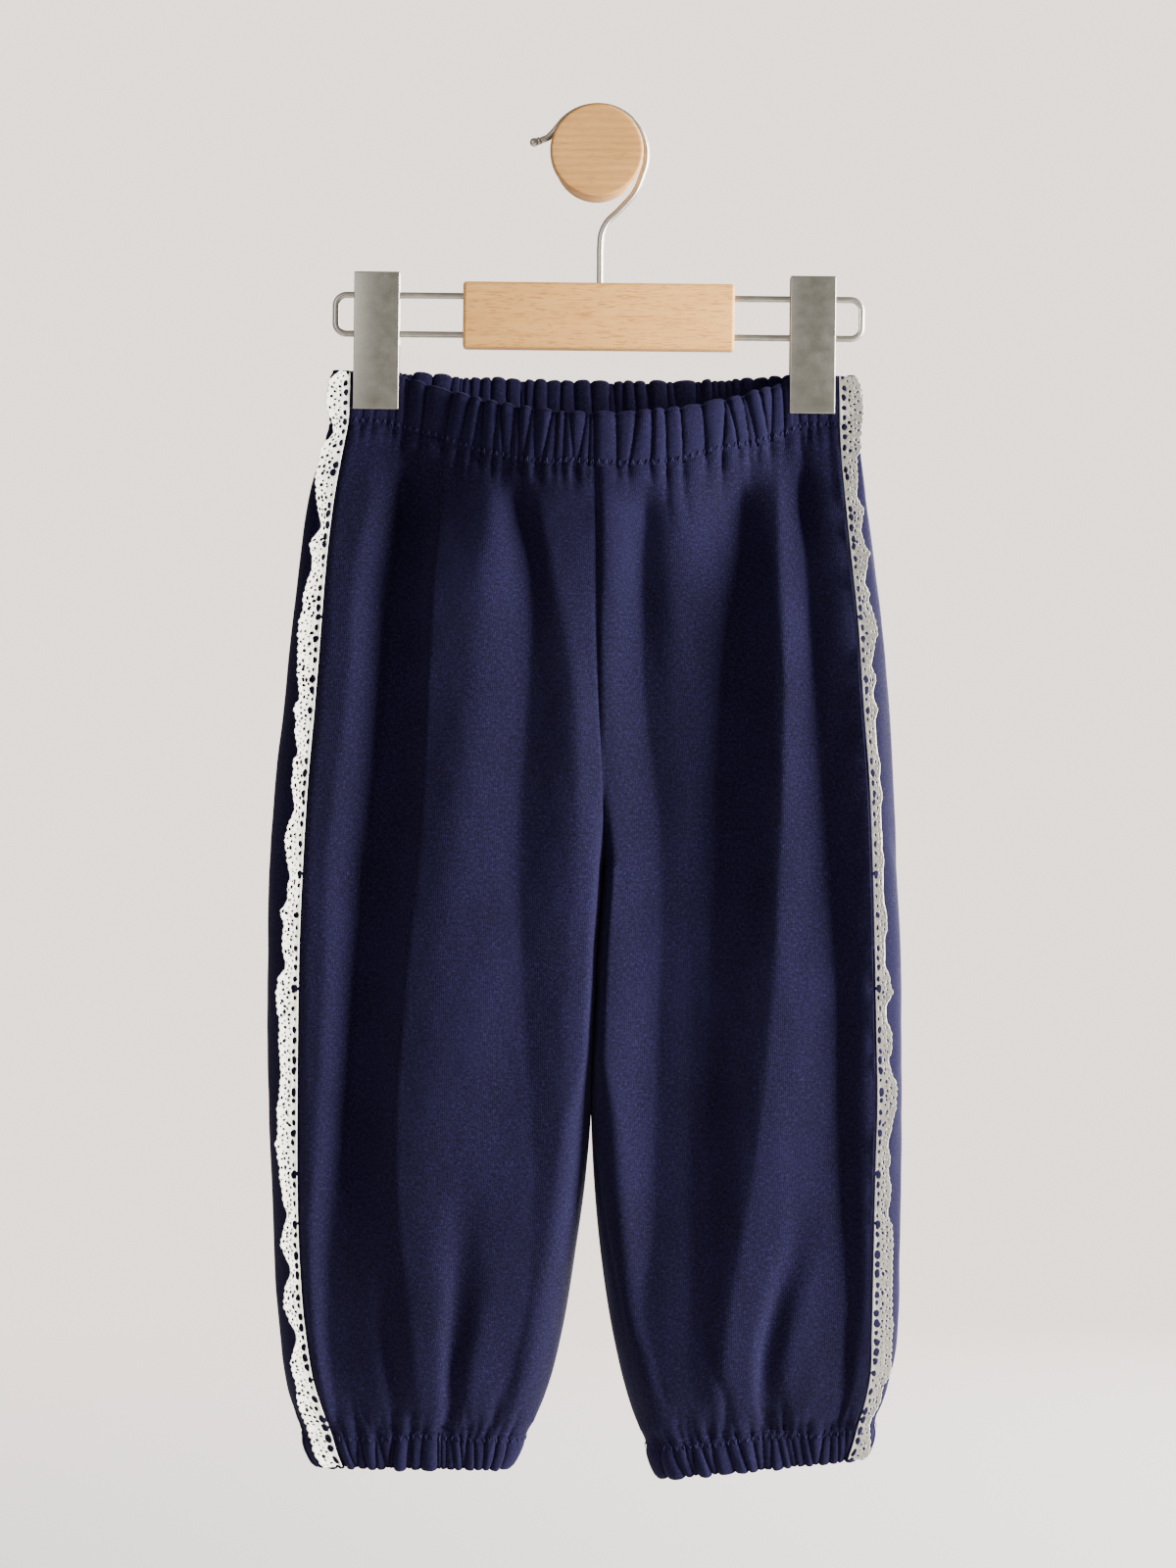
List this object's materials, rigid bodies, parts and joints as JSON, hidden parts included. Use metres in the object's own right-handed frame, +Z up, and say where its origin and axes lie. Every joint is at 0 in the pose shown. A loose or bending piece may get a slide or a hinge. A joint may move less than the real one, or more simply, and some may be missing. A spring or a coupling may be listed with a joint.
{
  "type": "bloomer trousers on a clip hanger and wall knob",
  "caption": "Child's navy fleece bloomer trousers with cream lace down both side seams, clipped to a wooden hanger that hangs on a round wall knob.",
  "frame": {"origin": "centre of the wall knob's back face, on the wall plane", "axes": "+Y into the wall, so the trousers' front faces -Y; +Z up, along the length of the trousers; +X to the right as seen from the front"},
  "size_m": [0.2922, 0.0591, 0.6322],
  "materials": {
    "navy_fleece": "brushed sweatshirt jersey",
    "cotton_lace": "matt cotton lace",
    "beech": "matt",
    "satin_nickel": "satin"
  },
  "bodies": {
    "root": {"front_panel_left": "navy_fleece", "front_panel_right": "navy_fleece", "back_panel_left": "navy_fleece", "back_panel_right": "navy_fleece", "waistband_front": "navy_fleece", "waistband_back": "navy_fleece", "hem_cuff_left": "navy_fleece", "hem_cuff_right": "navy_fleece", "lace_trim_left": "cotton_lace", "lace_trim_right": "cotton_lace", "hanger_bar": "beech", "wall_knob": "beech", "hanger_hook": "satin_nickel", "hanger_wire_left": "satin_nickel", "hanger_wire_right": "satin_nickel", "clip_left_front": "satin_nickel", "clip_left_back": "satin_nickel", "clip_right_front": "satin_nickel", "clip_right_back": "satin_nickel"}
  },
  "joints": []
}
